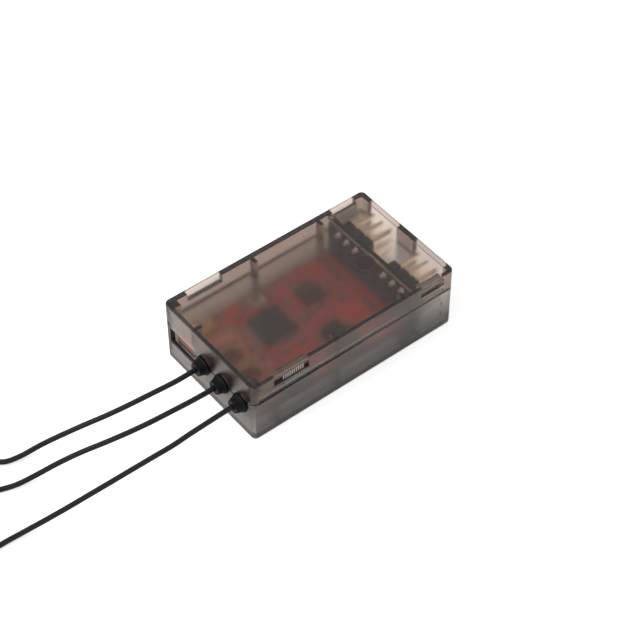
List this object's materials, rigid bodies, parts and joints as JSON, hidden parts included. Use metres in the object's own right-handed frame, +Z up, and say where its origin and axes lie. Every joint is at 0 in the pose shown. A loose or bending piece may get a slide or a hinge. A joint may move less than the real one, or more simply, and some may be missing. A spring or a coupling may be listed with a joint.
{
  "type": "radio control receiver",
  "caption": "Slim radio control receiver in a clear smoked case, with stacked servo pins at one end and antenna leads in rubber grommets at the other.",
  "frame": {"origin": "middle of the case's footprint, on the surface that it rests on", "axes": "+X out of the servo port end, -X out of the antenna end, +Z up through the clear top"},
  "size_m": [0.1064, 0.0469, 0.0142],
  "materials": {
    "smoked_plastic": "clear smoked moulding, glossy",
    "red_board": "red lacquered circuit board",
    "dark_board": "dark brown lacquered circuit board",
    "black_nylon": "moulded black nylon",
    "gold_plate": "gold plated contact metal",
    "black_rubber": "soft black rubber",
    "lead_jacket": "satin black cable jacket",
    "chip_resin": "moulded black resin",
    "nickel": "nickel plate and bright solder",
    "tantalum_yellow": "moulded yellow resin",
    "led_lens": "clear pale lens"
  },
  "bodies": {
    "root": {"case_top": "smoked_plastic", "case_bottom": "smoked_plastic", "main_board": "red_board", "port_board": "dark_board", "controller_chip": "chip_resin", "radio_chip": "chip_resin", "crystal": "nickel", "tantalum_capacitor": "tantalum_yellow", "voltage_regulator": "chip_resin", "side_connector": "black_nylon", "status_led_1": "led_lens", "status_led_2": "led_lens", "port_block_1": "black_nylon", "port_1_pin_1": "gold_plate", "port_1_pin_2": "gold_plate", "port_1_pin_3": "gold_plate", "port_block_2": "black_nylon", "port_2_pin_1": "gold_plate", "port_2_pin_2": "gold_plate", "port_2_pin_3": "gold_plate", "port_block_3": "black_nylon", "port_3_pin_1": "gold_plate", "port_3_pin_2": "gold_plate", "port_3_pin_3": "gold_plate", "port_block_4": "black_nylon", "port_4_pin_1": "gold_plate", "port_4_pin_2": "gold_plate", "port_4_pin_3": "gold_plate", "port_block_5": "black_nylon", "port_5_pin_1": "gold_plate", "port_5_pin_2": "gold_plate", "port_5_pin_3": "gold_plate", "port_block_6": "black_nylon", "port_6_pin_1": "gold_plate", "port_6_pin_2": "gold_plate", "port_6_pin_3": "gold_plate", "port_block_7": "black_nylon", "port_7_pin_1": "gold_plate", "port_7_pin_2": "gold_plate", "port_7_pin_3": "gold_plate", "port_block_8": "black_nylon", "port_8_pin_1": "gold_plate", "port_8_pin_2": "gold_plate", "port_8_pin_3": "gold_plate", "antenna_grommet_1": "black_rubber", "antenna_socket_1": "gold_plate", "antenna_plug_1": "gold_plate", "antenna_lead_1": "lead_jacket", "antenna_coil_1": "lead_jacket", "antenna_grommet_2": "black_rubber", "antenna_socket_2": "gold_plate", "antenna_plug_2": "gold_plate", "antenna_lead_2": "lead_jacket", "antenna_coil_2": "lead_jacket", "antenna_grommet_3": "black_rubber", "antenna_socket_3": "gold_plate", "antenna_plug_3": "gold_plate", "antenna_lead_3": "lead_jacket", "antenna_coil_3": "lead_jacket"}
  },
  "joints": []
}
